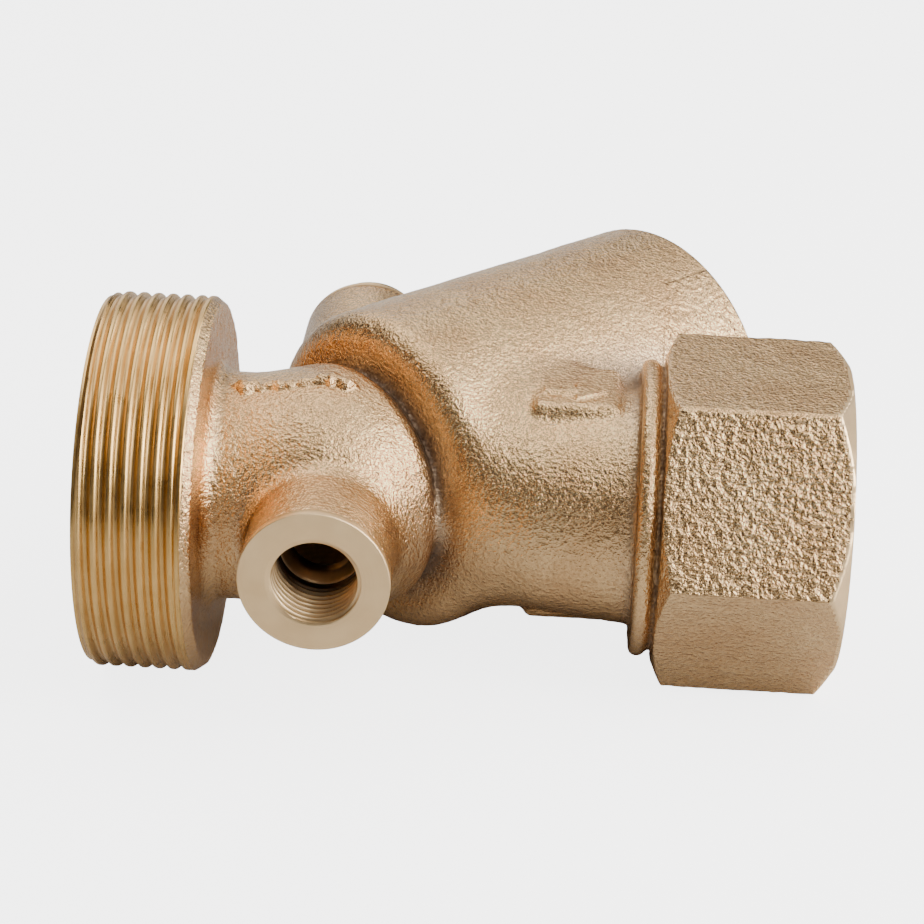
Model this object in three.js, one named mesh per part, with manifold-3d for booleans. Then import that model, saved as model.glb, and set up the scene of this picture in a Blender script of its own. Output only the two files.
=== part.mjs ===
// Y strainer DN 32: a bronze body with a male union end, a female hexagon end and a 45 degree barrel
// that holds the screen, closed by a screwed cap with a drain plug.
// Millimetres. While the pieces are built, the flow axis is X from the union face, the barrel leans
// towards +X and +Y in the plane of symmetry, and Z is normal to that plane. The last group moves the
// origin to the middle of the bottom of the bounding box.

import * as THREE from 'three';
import { mergeVertices } from 'three/addons/utils/BufferGeometryUtils.js';
import Module from 'manifold-3d';

const wasm = await Module();
wasm.setup();

// ---------------------------------------------------------------- driving dimensions

const LENGTH = 116.6; // union face to hexagon face
const GAP = 0.3; // clearance between pieces that touch
const ROUND = 36; // sides of a large round
const SMALL_ROUND = 24; // sides of a small round

const UNION = { // G 2 parallel pipe thread
  majorRadius: 29.807,
  minorRadius: 28.328,
  pitch: 2.309,
  length: 16.35,
  endChamfer: 1.0,
  backChamfer: 1.6,
  backRadius: 28.6,
  turns: 6.25,
};
const NECK = { radius: 18.1, foot: 3.0 };
const BULB = { radius: 19.8, centreX: 36.3, end: 7.2, endRound: 3.0 };
const BARREL = {
  angle: Math.PI / 4,
  radius: 26.4,
  start: 8.0,
  startRadius: 19.4,
  shoulderRound: 4.0,
  mouth: 72.3,
  rimChamfer: 0.5,
};
const CHAMBER = { radius: 22.4, start: 13.6, end: 54.0 };
const SEAT = { bore: 14.6, recessRadius: 18.3, recessStart: 10.0 };
const INLET = { bore: 15.2, chamberRadius: 16.4 };
const OUTLET = { start: 62.0, startBore: 9.8, throat: 66.5, bore: 13.4, flareEnd: 82.0, endBore: 15.5 };
const TUBE = { start: 57.0, startRadius: 8.0, shoulder: 65.0, radius: 16.3, end: 83.0, endRadius: 18.5 };
const COLLAR = { foot: 83.6, start: 84.5, end: 87.1, radius: 23.4, groove: 20.4 };
const HEX = { start: 88.1, acrossFlats: 48.44, leftChamfer: 1.8, rightChamfer: 2.7, faceRadius: 24.1 };
const SOCKET = { start: 95.0, radius: 20.2, mouthRadius: 21.6, chamfer: 1.4 };
const PAD = { start: 67.6, end: 81.2, height: 18.9, halfWidth: 4.2, edge: 0.8 };

const PORT = { radius: 5.8, countersink: 7.4, depth: 11.6, drill: 3.6 }; // G 1/4 test port
const PORT_PITCH_RADIUS = 6.2;
const FRONT_BOSS = { x: 36.75, radius: 11.5, face: 30.9 };
const REAR_BOSS = { x: 36.75, radius: 11.3, face: 59.7, start: 30.0 };

const CAP_THREAD = { bore: 20.6, counterbore: 23.6, counterboreDepth: 4.0 }; // M 42 x 1.5, at its pitch line
const CAP = {
  spigotEnd: 54.6,
  flangeRadius: 23.2,
  flangeTop: 73.8,
  hexAcrossFlats: 32.0,
  hexTop: 78.8,
  screenPocket: 18.2,
  pocketFloor: 61.1,
  hollow: 15.0,
  hollowFloor: 66.5,
};
const GASKET = { inner: 20.9, outer: 23.2, thickness: 1.5 };
const SCREEN = { outer: 17.4, wall: 0.8, meshWall: 0.4, start: 12.5, end: 58.5, ringInner: 14.8, ringOuter: 17.9 };
const HOLES = { around: 8, rows: 6, radius: 2.6, sides: 6 };
const DRAIN_PLUG = { acrossFlats: 13.0, headHeight: 4.5, stem: 9.0, flangeRadius: 9.4, flangeHeight: 1.6 };
const REAR_PLUG = { headRadius: 9.6, headHeight: 3.0, keyRadius: 3.5, keyDepth: 6.0, stem: 9.0 };
const WASHER = { inner: 6.4, outer: 9.2, thickness: 1.2 };

// ---------------------------------------------------------------- solids

const X_AXIS = new THREE.Vector3(1, 0, 0);
const Y_AXIS = new THREE.Vector3(0, 1, 0);
const BARREL_AXIS = new THREE.Vector3(Math.cos(BARREL.angle), Math.sin(BARREL.angle), 0);

// The place of a piece that is drawn along its own Y axis.
function along(direction, x = 0) {
  const turn = new THREE.Quaternion().setFromUnitVectors(Y_AXIS, direction);
  return new THREE.Matrix4().compose(new THREE.Vector3(x, 0, 0), turn, new THREE.Vector3(1, 1, 1));
}

const ON_FLOW = along(X_AXIS);
const ON_BARREL = along(BARREL_AXIS, BULB.centreX);
const ON_FRONT_BOSS = along(new THREE.Vector3(0, -1, 0), FRONT_BOSS.x);
const ON_REAR_BOSS = along(Y_AXIS, REAR_BOSS.x);

function signedVolume(positions, triangles) {
  const a = new THREE.Vector3();
  const b = new THREE.Vector3();
  const c = new THREE.Vector3();
  let sum = 0;
  for (let i = 0; i < triangles.length; i += 3) {
    a.fromArray(positions, triangles[i] * 3);
    b.fromArray(positions, triangles[i + 1] * 3);
    c.fromArray(positions, triangles[i + 2] * 3);
    sum += a.dot(b.cross(c));
  }
  return sum / 6;
}

// A closed three.js geometry as a manifold solid with its faces pointing out.
function solid(geometry, place = new THREE.Matrix4()) {
  const bare = geometry.clone();
  bare.deleteAttribute('normal');
  bare.deleteAttribute('uv');
  bare.applyMatrix4(place);
  const welded = mergeVertices(bare, 1e-4);
  const positions = welded.attributes.position.array;
  const triangles = [];
  const index = welded.index.array;
  for (let i = 0; i < index.length; i += 3) {
    const [a, b, c] = [index[i], index[i + 1], index[i + 2]];
    if (a !== b && b !== c && c !== a) triangles.push(a, b, c);
  }
  if (signedVolume(positions, triangles) < 0) triangles.reverse();
  const mesh = new wasm.Mesh({
    numProp: 3,
    vertProperties: new Float32Array(positions),
    triVerts: new Uint32Array(triangles),
  });
  return new wasm.Manifold(mesh);
}

// A turned solid. The profile is a list of [distance along the axis, radius].
function turned(profile, place = new THREE.Matrix4(), sides = ROUND) {
  const points = profile.map(([distance, radius]) => new THREE.Vector2(radius, distance));
  return solid(new THREE.LatheGeometry(points, sides), place);
}

function rod(from, to, radius, place = new THREE.Matrix4(), sides = ROUND) {
  return turned([[from, 0], [from, radius], [to, radius], [to, 0]], place, sides);
}

function ring(from, to, inner, outer, sides = ROUND) {
  return turned([[from, inner], [from, outer], [to, outer], [to, inner], [from, inner]], undefined, sides);
}

function hexPrism(from, to, acrossFlats, place = new THREE.Matrix4()) {
  const corner = acrossFlats / Math.sqrt(3);
  const prism = new THREE.CylinderGeometry(corner, corner, to - from, 6);
  prism.translate(0, (from + to) / 2, 0);
  return solid(prism, place);
}

function joined(solids) {
  return solids.reduce((sum, next) => sum.add(next));
}

// Points [distance, radius] on an arc, angles in radians from the axis.
function arc(centre, centreRadius, radius, fromAngle, toAngle, steps) {
  const points = [];
  for (let i = 0; i <= steps; i += 1) {
    const angle = fromAngle + ((toAngle - fromAngle) * i) / steps;
    points.push([centre + radius * Math.cos(angle), centreRadius + radius * Math.sin(angle)]);
  }
  return points;
}

// ---------------------------------------------------------------- body casting

// A right-hand ridge wound round the Y axis: a long box whose length becomes the helix. Its crest rises
// out of the root cylinder over the first and last part turn.
function threadRidge({ majorRadius, minorRadius, pitch, turns }, start) {
  const stepsPerTurn = ROUND;
  const box = new THREE.BoxGeometry(turns, 1, 1, Math.round(turns * stepsPerTurn), 1, 1);
  const position = box.attributes.position;
  const buried = minorRadius - 0.6;
  const leadIn = 0.3;
  for (let i = 0; i < position.count; i += 1) {
    const turn = position.getX(i) + turns / 2;
    const isCrest = position.getY(i) > 0;
    const side = Math.sign(position.getZ(i));
    const rise = Math.min(1, turn / leadIn, (turns - turn) / leadIn);
    const crest = THREE.MathUtils.lerp(buried + 0.1, majorRadius, Math.max(0, rise));
    const radius = isCrest ? crest : buried;
    const halfWidth = isCrest ? pitch * 0.12 : pitch * 0.46;
    const angle = turn * 2 * Math.PI;
    const height = start + turn * pitch + side * halfWidth;
    position.setXYZ(i, radius * Math.sin(angle), height, radius * Math.cos(angle));
  }
  return box;
}

function unionEnd() {
  const { majorRadius, minorRadius, length, endChamfer, backChamfer, backRadius, pitch } = UNION;
  const rim = length - pitch * 0.45;
  const back = length + backChamfer;
  const core = turned([
    [0, 0],
    [0, minorRadius - endChamfer],
    [endChamfer, minorRadius],
    [rim - 0.8, minorRadius],
    [rim, majorRadius],
    [length, majorRadius],
    [back, backRadius],
    [back, NECK.radius + NECK.foot],
    [back + NECK.foot * 0.3, NECK.radius + NECK.foot * 0.3],
    [back + NECK.foot, NECK.radius],
    [BULB.centreX, NECK.radius],
    [BULB.centreX, 0],
  ], ON_FLOW);
  return core.add(solid(threadRidge(UNION, endChamfer + pitch * 0.1), ON_FLOW));
}

// The bulb round the crossing and the barrel are one turned shape, with a valley between them.
function bulbAndBarrel() {
  const { radius, start, startRadius, shoulderRound, mouth, rimChamfer } = BARREL;
  const backOfBulb = arc(0, 0, BULB.radius, Math.PI, Math.PI / 2, 8);
  backOfBulb[0][1] = 0;
  return turned([
    ...backOfBulb,
    ...arc(BULB.end - BULB.endRound, BULB.radius - BULB.endRound, BULB.endRound, Math.PI / 2, 0.3, 3),
    [start, startRadius],
    ...arc(start + shoulderRound, radius - shoulderRound, shoulderRound, Math.PI * 0.97, Math.PI / 2, 4),
    [mouth - rimChamfer, radius],
    [mouth, radius - rimChamfer],
    [mouth, 0],
  ], ON_BARREL);
}

function outletTube() {
  return turned([
    [TUBE.start, 0],
    [TUBE.start, TUBE.startRadius],
    [TUBE.shoulder, TUBE.radius],
    [TUBE.end, TUBE.endRadius],
    [COLLAR.foot, COLLAR.groove],
    [COLLAR.start, COLLAR.radius],
    [COLLAR.end, COLLAR.radius],
    [COLLAR.end + 0.4, COLLAR.groove + 1.6],
    [HEX.start + 3, COLLAR.groove + 1.6],
    [HEX.start + 3, 0],
  ], ON_FLOW);
}

function hexagonEnd() {
  const cornerRadius = HEX.acrossFlats / Math.sqrt(3);
  const prism = hexPrism(HEX.start, LENGTH, HEX.acrossFlats, ON_FLOW.clone().multiply(
    new THREE.Matrix4().makeRotationY(Math.PI / 6),
  ));
  const envelope = turned([
    [HEX.start, 0],
    [HEX.start, HEX.faceRadius],
    [HEX.start + HEX.leftChamfer, cornerRadius],
    [LENGTH - HEX.rightChamfer, cornerRadius],
    [LENGTH, HEX.faceRadius],
    [LENGTH, 0],
  ], ON_FLOW);
  return prism.intersect(envelope);
}

// Raised flat pads above and below the outlet tube, one block that runs through the tube.
function tubePads() {
  const { start, end, height, halfWidth, edge } = PAD;
  const outline = new THREE.Shape();
  outline.moveTo(-halfWidth, -height + edge);
  outline.lineTo(-halfWidth + edge, -height);
  outline.lineTo(halfWidth + 2, -height);
  outline.lineTo(halfWidth + 2, height);
  outline.lineTo(-halfWidth + edge, height);
  outline.lineTo(-halfWidth, height - edge);
  outline.closePath();
  const block = new THREE.ExtrudeGeometry(outline, { depth: end - start, bevelEnabled: false });
  const place = new THREE.Matrix4().makeBasis(Y_AXIS, new THREE.Vector3(0, 0, 1), X_AXIS);
  place.setPosition(start, 0, 0);
  return solid(block, place);
}

function passages() {
  const inlet = rod(-1, BULB.centreX, INLET.bore, ON_FLOW);
  const crossing = solid(new THREE.SphereGeometry(INLET.chamberRadius, 32, 20), ON_BARREL);
  const barrel = turned([
    [0, 0],
    [0, SEAT.bore],
    [SEAT.recessStart, SEAT.bore],
    [SEAT.recessStart, SEAT.recessRadius],
    [CHAMBER.start, SEAT.recessRadius],
    [CHAMBER.start, CHAMBER.radius],
    [CHAMBER.end - 2, CHAMBER.radius],
    [CHAMBER.end, CAP_THREAD.bore],
    [BARREL.mouth - CAP_THREAD.counterboreDepth, CAP_THREAD.bore],
    [BARREL.mouth - CAP_THREAD.counterboreDepth, CAP_THREAD.counterbore],
    [BARREL.mouth + 1, CAP_THREAD.counterbore],
    [BARREL.mouth + 1, 0],
  ], ON_BARREL);
  const outlet = turned([
    [OUTLET.start, 0],
    [OUTLET.start, OUTLET.startBore],
    [OUTLET.throat, OUTLET.bore],
    [OUTLET.flareEnd, OUTLET.endBore],
    [SOCKET.start, OUTLET.endBore],
    [SOCKET.start, SOCKET.radius],
    [LENGTH - SOCKET.chamfer, SOCKET.radius],
    [LENGTH, SOCKET.mouthRadius],
    [LENGTH + 1, SOCKET.mouthRadius],
    [LENGTH + 1, 0],
  ], ON_FLOW);
  return joined([inlet, crossing, barrel, outlet]);
}

function testPort(face, radius, inner, place) {
  return turned([
    [inner, 0],
    [inner, PORT.drill],
    [face - PORT.depth - 1.5, PORT.drill],
    [face - PORT.depth, radius],
    [face - (PORT.countersink - radius), radius],
    [face, PORT.countersink],
    [face + 1, PORT.countersink],
    [face + 1, 0],
  ], place, SMALL_ROUND);
}

function boss({ radius, face }, start, place) {
  return turned([
    [start, 0],
    [start, radius],
    [face - 0.4, radius],
    [face, radius - 0.4],
    [face, 0],
  ], place, SMALL_ROUND);
}

function bodyCasting() {
  const outside = joined([
    unionEnd(),
    bulbAndBarrel(),
    outletTube(),
    hexagonEnd(),
    tubePads(),
    boss(FRONT_BOSS, 0, ON_FRONT_BOSS),
    boss(REAR_BOSS, REAR_BOSS.start, ON_REAR_BOSS),
  ]);
  const frontPort = testPort(FRONT_BOSS.face, PORT.radius, 8, ON_FRONT_BOSS);
  const rearPort = testPort(REAR_BOSS.face, PORT_PITCH_RADIUS, 28, ON_REAR_BOSS);
  return outside.subtract(joined([passages(), frontPort, rearPort]));
}

// ---------------------------------------------------------------- pieces along the barrel axis

function cap() {
  const flangeBottom = BARREL.mouth - CAP_THREAD.counterboreDepth + GASKET.thickness + 2 * GAP;
  const spigot = CAP_THREAD.bore - GAP;
  const outside = turned([
    [CAP.spigotEnd, 0],
    [CAP.spigotEnd, spigot - 0.6],
    [CAP.spigotEnd + 0.6, spigot],
    [flangeBottom, spigot],
    [flangeBottom, CAP.flangeRadius],
    [CAP.flangeTop - 0.6, CAP.flangeRadius],
    [CAP.flangeTop, CAP.flangeRadius - 0.6],
    [CAP.flangeTop, 0],
  ]).add(hexPrism(CAP.flangeTop - 1, CAP.hexTop, CAP.hexAcrossFlats));
  const inside = turned([
    [CAP.spigotEnd - 1, 0],
    [CAP.spigotEnd - 1, CAP.screenPocket],
    [CAP.pocketFloor, CAP.screenPocket],
    [CAP.pocketFloor, CAP.hollow],
    [CAP.hollowFloor, CAP.hollow],
    [CAP.hollowFloor, PORT_PITCH_RADIUS],
    [CAP.hexTop + 1, PORT_PITCH_RADIUS],
    [CAP.hexTop + 1, 0],
  ]);
  return outside.subtract(inside);
}

function capGasket() {
  const floor = BARREL.mouth - CAP_THREAD.counterboreDepth + GAP;
  return ring(floor, floor + GASKET.thickness, GASKET.inner, GASKET.outer);
}

function screenTube() {
  const { outer, wall, start, end } = SCREEN;
  const tube = ring(start, end, outer - wall, outer);
  const rowPitch = (end - start) / (HOLES.rows + 0.4);
  const drills = [];
  for (let row = 0; row < HOLES.rows; row += 1) {
    for (let i = 0; i < HOLES.around / 2; i += 1) {
      const drill = new THREE.CylinderGeometry(HOLES.radius, HOLES.radius, outer * 2 + 2, HOLES.sides);
      drill.rotateX(Math.PI / 2);
      drill.rotateY(((i + (row % 2) / 2) * 2 * Math.PI) / HOLES.around);
      drill.translate(0, start + rowPitch * (row + 0.7), 0);
      drills.push(drill);
    }
  }
  return drills.reduce((rest, drill) => rest.subtract(solid(drill)), tube);
}

function screenMesh() {
  const outer = SCREEN.outer - SCREEN.wall - GAP;
  return ring(SCREEN.start, SCREEN.end, outer - SCREEN.meshWall, outer);
}

function screenSeatRing() {
  return ring(SEAT.recessStart + GAP, SCREEN.start - GAP, SCREEN.ringInner, SCREEN.ringOuter);
}

function screenCapRing() {
  return ring(SCREEN.end + GAP, CAP.pocketFloor - GAP, SCREEN.ringInner, SCREEN.ringOuter);
}

function washer(seat) {
  return ring(seat + GAP, seat + GAP + WASHER.thickness, WASHER.inner, WASHER.outer, SMALL_ROUND);
}

function drainPlug() {
  const seat = CAP.hexTop + 2 * GAP + WASHER.thickness;
  const top = seat + DRAIN_PLUG.flangeHeight;
  const stem = PORT_PITCH_RADIUS - GAP;
  return turned([
    [seat - DRAIN_PLUG.stem, 0],
    [seat - DRAIN_PLUG.stem, stem - 0.6],
    [seat - DRAIN_PLUG.stem + 0.6, stem],
    [seat, stem],
    [seat, DRAIN_PLUG.flangeRadius],
    [top, DRAIN_PLUG.flangeRadius],
    [top, 0],
  ], undefined, SMALL_ROUND).add(hexPrism(seat + 1, top + DRAIN_PLUG.headHeight, DRAIN_PLUG.acrossFlats));
}

function rearPortPlug() {
  const seat = REAR_BOSS.face + 2 * GAP + WASHER.thickness;
  const top = seat + REAR_PLUG.headHeight;
  const stem = PORT_PITCH_RADIUS - GAP;
  return turned([
    [seat - REAR_PLUG.stem, 0],
    [seat - REAR_PLUG.stem, stem - 0.6],
    [seat - REAR_PLUG.stem + 0.6, stem],
    [seat, stem],
    [seat, REAR_PLUG.headRadius],
    [top - 0.5, REAR_PLUG.headRadius],
    [top, REAR_PLUG.headRadius - 0.5],
    [top, 0],
  ], undefined, SMALL_ROUND).subtract(hexPrism(top - REAR_PLUG.keyDepth, top + 1, REAR_PLUG.keyRadius * 2));
}

// ---------------------------------------------------------------- scene graph

const FINISH = {
  bronze: { color: 0xc69c74, roughness: 0.45, metalness: 0.9 },
  brass: { color: 0xc9a659, roughness: 0.35, metalness: 0.95 },
  steel: { color: 0xb9bbbd, roughness: 0.4, metalness: 0.95 },
  fibre: { color: 0x5d2f27, roughness: 0.8, metalness: 0.0 },
};

function piece(name, shape, finish) {
  const { vertProperties, triVerts } = shape.getMesh();
  const geometry = new THREE.BufferGeometry();
  geometry.setAttribute('position', new THREE.BufferAttribute(vertProperties, 3));
  geometry.setIndex(new THREE.BufferAttribute(triVerts, 1));
  geometry.computeVertexNormals();
  const mesh = new THREE.Mesh(geometry, new THREE.MeshStandardMaterial(FINISH[finish]));
  mesh.name = name;
  return mesh;
}

function group(place, meshes) {
  const holder = new THREE.Group();
  holder.applyMatrix4(place);
  holder.add(...meshes);
  return holder;
}

const onBarrel = group(ON_BARREL, [
  piece('cap', cap(), 'brass'),
  piece('cap_gasket', capGasket(), 'fibre'),
  piece('screen_tube', screenTube(), 'steel'),
  piece('screen_mesh', screenMesh(), 'steel'),
  piece('screen_seat_ring', screenSeatRing(), 'steel'),
  piece('screen_cap_ring', screenCapRing(), 'steel'),
  piece('drain_washer', washer(CAP.hexTop), 'fibre'),
  piece('drain_plug', drainPlug(), 'brass'),
]);
const onRearBoss = group(ON_REAR_BOSS, [
  piece('rear_port_washer', washer(REAR_BOSS.face), 'fibre'),
  piece('rear_port_plug', rearPortPlug(), 'brass'),
]);

// The farthest point of the barrel mouth in Y, at the edge of its rim chamfer.
const barrelReach = (BARREL.mouth - BARREL.rimChamfer + BARREL.radius) * Math.sin(BARREL.angle);

const strainer = new THREE.Group();
strainer.add(piece('strainer_body', bodyCasting(), 'bronze'), onBarrel, onRearBoss);
strainer.position.set(-LENGTH / 2, (FRONT_BOSS.face - barrelReach) / 2, UNION.majorRadius);

export default strainer;
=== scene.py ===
import math
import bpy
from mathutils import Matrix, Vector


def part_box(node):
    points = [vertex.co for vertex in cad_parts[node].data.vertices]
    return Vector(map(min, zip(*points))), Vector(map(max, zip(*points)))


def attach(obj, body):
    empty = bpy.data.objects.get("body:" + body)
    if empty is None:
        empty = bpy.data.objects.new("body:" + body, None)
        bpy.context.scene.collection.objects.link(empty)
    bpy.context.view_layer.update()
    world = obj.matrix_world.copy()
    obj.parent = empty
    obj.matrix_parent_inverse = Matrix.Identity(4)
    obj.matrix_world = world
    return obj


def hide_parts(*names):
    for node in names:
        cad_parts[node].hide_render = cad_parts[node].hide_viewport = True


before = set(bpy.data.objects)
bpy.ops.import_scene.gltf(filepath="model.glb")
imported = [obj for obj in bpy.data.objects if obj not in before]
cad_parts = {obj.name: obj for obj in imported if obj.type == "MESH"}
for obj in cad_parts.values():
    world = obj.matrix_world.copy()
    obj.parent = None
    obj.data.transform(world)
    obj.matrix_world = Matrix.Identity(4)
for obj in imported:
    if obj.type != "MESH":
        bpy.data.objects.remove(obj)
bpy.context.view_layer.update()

from types import SimpleNamespace as Sizes

import bmesh
import bpy
import numpy as np
from mathutils import Matrix, Vector

# A bronze Y strainer, lying on its side. The casting is built as a distance field in millimetres in its
# own axes: X along the flow from the union face, the barrel leaning to +X and +Y, Z normal to the plane of
# symmetry. ORIGIN carries it into the frame. Everything turned is a closed ring swept round its axis.

MM = 0.001
ROOT2 = math.sqrt(2.0)

# ------------------------------------------------------------------ dimensions, millimetres

UNION = Sizes(crest=29.8, root=29.05, pitch=2.309, length=16.35, bore=15.2)
FLANGE = Sizes(back=17.95, back_radius=28.6, fillet=2.6)
NECK_RADIUS = 18.1
CROSSING = 36.3
BULB = Sizes(radius=19.8, end=7.1, round=4.2)
BARREL = Sizes(radius=26.4, start=8.0, round=4.6, mouth=72.3, rim=0.6)
CHAMBER = Sizes(radius=22.4, start=13.6, end=54.0)
SEAT = Sizes(bore=14.6, recess=18.3, start=10.0)
INLET_CHAMBER = 16.4
OUTLET = Sizes(start=62.0, start_bore=9.8, throat=66.5, bore=13.4, flare=82.0, end_bore=15.5)
TUBE = Sizes(start=57.0, start_radius=8.0, shoulder=65.0, radius=16.3, end=83.0, end_radius=18.5)
COLLAR = Sizes(start=84.5, end=87.1, radius=23.4, groove=22.3)
HEX = Sizes(start=88.1, flats=48.44, left=1.8, right=2.7, face=24.1)
LENGTH = 116.6
SOCKET = Sizes(start=95.0, minor=19.48, major=20.95, pitch=2.309, mouth=21.6, relief=22.0)
PAD = Sizes(start=67.6, end=81.2, height=18.9, half_width=4.2)
ARROW = Sizes(middle=72.0, half_length=2.8, half_width=0.85, head=74.2, tip=79.2, y=0.8)
ARROW_RAISED = 0.55
FLASH = Sizes(start=20.5, end=41.0, y=-2.4, radius=1.1)
FRONT_BOSS = Sizes(x=36.75, radius=11.5, face=30.9)
REAR_BOSS = Sizes(x=36.75, radius=11.3, face=59.7)
PORT = Sizes(minor=6.5, major=7.15, pitch=1.337, mouth=7.3, depth=11.6, drill=5.0, relief=8.2)
MOUTH_THREAD = Sizes(minor=20.25, major=21.05, pitch=1.5, end=54.0, bore=20.3, relief=24.2)
COUNTERBORE = Sizes(radius=23.6, depth=4.0)

# The casting is bored out to reliefs and cut back behind its bosses' faces, where the turned rings sit.
RING_GAP = 0.01
RING_DEPTH = 1.4

# How many flats stand in for a round.
UNION_SIDES = 480
LARGE_SIDES = 360
SMALL_SIDES = 240

# The block of space above the plane of symmetry that holds the casting: its span in X, Y and Z.
CASTING_SPAN = ((15.3, 118.2), (-31.2, 71.2), (0.0, 31.0))
CASTING_STEP = 0.42

SHARP_ANGLE = 35.0

body_low, body_high = (Vector(corner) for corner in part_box("strainer_body"))
ORIGIN = Vector((body_low.x, body_low.y + FRONT_BOSS.face * MM, (body_low.z + body_high.z) / 2))
BARREL_AXIS = Vector((1, 1, 0)).normalized()


def in_frame(x, y, z):
    """A point given in the casting's own millimetres, in the frame."""
    return ORIGIN + Vector((x, y, z)) * MM


# ------------------------------------------------------------------ meshes

def mesh_object(name, vertices, faces, materials, face_material=None):
    """An object from vertices in metres and quads, smooth but for its sharp edges."""
    mesh = bpy.data.meshes.new(name)
    faces = np.asarray(faces, dtype=np.int32)
    sides = faces.shape[1]
    mesh.vertices.add(len(vertices))
    mesh.vertices.foreach_set("co", np.asarray(vertices, dtype=np.float32).ravel())
    mesh.loops.add(faces.size)
    mesh.loops.foreach_set("vertex_index", faces.ravel())
    mesh.polygons.add(len(faces))
    mesh.polygons.foreach_set("loop_start", np.arange(0, faces.size, sides, dtype=np.int32))
    for material in materials:
        mesh.materials.append(material)
    if face_material is not None:
        mesh.polygons.foreach_set("material_index", np.asarray(face_material, dtype=np.int32))
    mesh.update(calc_edges=True)
    mesh.validate()
    mesh.shade_smooth()
    mesh.set_sharp_from_angle(angle=math.radians(SHARP_ANGLE))
    made = bpy.data.objects.new(name, mesh)
    bpy.context.scene.collection.objects.link(made)
    return made


# ------------------------------------------------------------------ distance fields

def round_join(a, b, radius):
    """The union of two fields with a fillet of that radius between them. The radius may vary."""
    fillet = np.sqrt(np.maximum(radius - a, 0) ** 2 + np.maximum(radius - b, 0) ** 2)
    return np.maximum(np.minimum(a, b), radius) - fillet


def cylinder(along, across, start, end, radius, rounding=0.0):
    """A cylinder from start to end along its axis, with rounded rims."""
    da = np.abs(along - (start + end) / 2) - (end - start) / 2 + rounding
    dr = across - radius + rounding
    outside = np.sqrt(np.maximum(da, 0) ** 2 + np.maximum(dr, 0) ** 2)
    return outside + np.minimum(np.maximum(da, dr), 0) - rounding


def rounded_box(dx, dy, dz, rounding):
    """A box from its three pairs of faces, with rounded edges."""
    dx, dy, dz = dx + rounding, dy + rounding, dz + rounding
    outside = np.sqrt(np.maximum(dx, 0) ** 2 + np.maximum(dy, 0) ** 2 + np.maximum(dz, 0) ** 2)
    return outside + np.minimum(np.maximum(np.maximum(dx, dy), dz), 0) - rounding


def rounded(points, radius, steps=4):
    """The points of a profile with its inner corners rounded, by a curve through each corner."""
    points = [np.array(p, dtype=float) for p in points]
    out = [tuple(points[0])]
    for before, corner, after in zip(points, points[1:], points[2:]):
        back, ahead = before - corner, after - corner
        reach = min(radius, np.linalg.norm(back) * 0.45, np.linalg.norm(ahead) * 0.45)
        a = corner + back / np.linalg.norm(back) * reach
        b = corner + ahead / np.linalg.norm(ahead) * reach
        for k in range(steps + 1):
            t = k / steps
            out.append(tuple(a * (1 - t) ** 2 + corner * 2 * t * (1 - t) + b * t ** 2))
    out.append(tuple(points[-1]))
    return out


def turned_profile(along, across, points):
    """The exact field of a turned solid. Its outline runs from the axis out, along and back to the axis."""
    nearest = np.full(np.broadcast(along, across).shape, np.inf, dtype=np.float32)
    inside = np.zeros(nearest.shape, dtype=bool)
    for (x0, r0), (x1, r1) in zip(points, points[1:]):
        dx, dr = x1 - x0, r1 - r0
        share = np.clip(((along - x0) * dx + (across - r0) * dr) / (dx * dx + dr * dr), 0, 1)
        gap = (along - x0 - share * dx) ** 2 + (across - r0 - share * dr) ** 2
        if r0 > 0 or r1 > 0:
            nearest = np.minimum(nearest, gap)
        if dx != 0:
            between = (along >= min(x0, x1)) & (along < max(x0, x1))
            inside ^= between & (across < r0 + (along - x0) * dr / dx)
    return np.sqrt(nearest) * np.where(inside, -1.0, 1.0)


def smooth_noise(axes, scale, seed):
    """Smooth noise from -1 to 1 over a grid of points, with lumps of about that size."""
    random = np.random.default_rng(seed)
    counts = [int((a[-1] - a[0]) / scale) + 3 for a in axes]
    values = random.uniform(-1, 1, counts).astype(np.float32)
    for direction, axis in enumerate(axes):
        place = (axis - axis[0]) / scale
        cell = place.astype(int)
        share = (place - cell).astype(np.float32)
        share = share * share * (3 - 2 * share)
        shape = [1, 1, 1]
        shape[direction] = len(axis)
        share = share.reshape(shape)
        ahead = np.take(values, cell + 1, direction)
        values = np.take(values, cell, direction) * (1 - share) + ahead * share
    return values


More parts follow.
